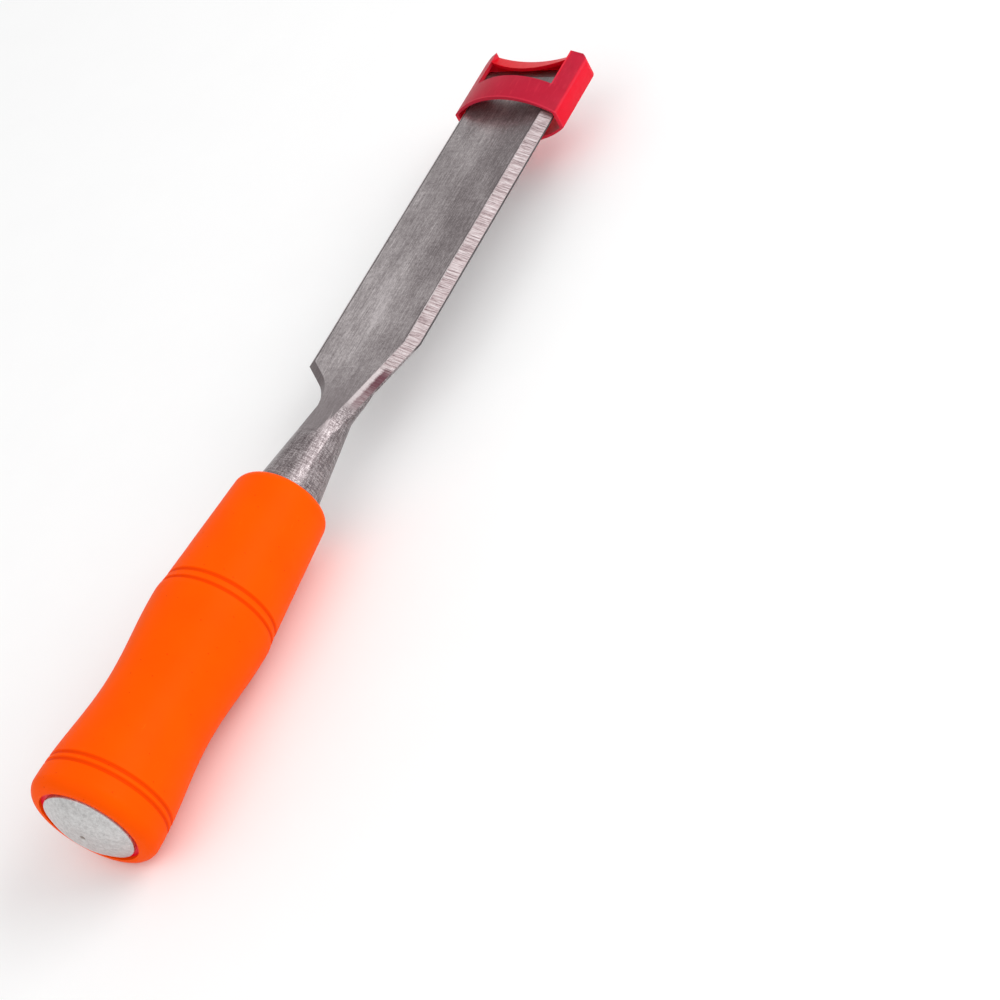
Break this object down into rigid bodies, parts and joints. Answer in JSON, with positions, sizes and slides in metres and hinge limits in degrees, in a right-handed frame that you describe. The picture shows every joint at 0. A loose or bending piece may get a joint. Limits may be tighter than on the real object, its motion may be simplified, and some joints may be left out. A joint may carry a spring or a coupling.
{
  "type": "bench chisel",
  "caption": "Bench chisel with a bevel-edged steel blade, orange two-layer handle, domed steel strike cap and a slip-on red edge guard.",
  "frame": {"origin": "centre of the strike cap's striking face, on the handle's axis", "axes": "+X runs along the handle's axis from the butt to the cutting edge, +Z points out of the bevelled face, the flat back looks along -Z, Y runs across the blade"},
  "size_m": [0.2726, 0.035, 0.0346],
  "materials": {
    "blade_steel": "ground, brushed along the blade",
    "core_plastic": "hard moulded crimson",
    "grip_plastic": "satin orange moulding",
    "cap_steel": "satin turned steel",
    "guard_plastic": "translucent red moulding, satin"
  },
  "bodies": {
    "chisel": {"blade": "blade_steel", "handle_core": "core_plastic", "grip_sleeve": "grip_plastic", "strike_cap": "cap_steel"},
    "guard": {"edge_guard": "guard_plastic"}
  },
  "joints": [
    {"name": "guard_slide", "type": "slide", "parent": "chisel", "child": "guard", "axis": [1, 0, 0], "range_m": [0, 0.03]}
  ]
}
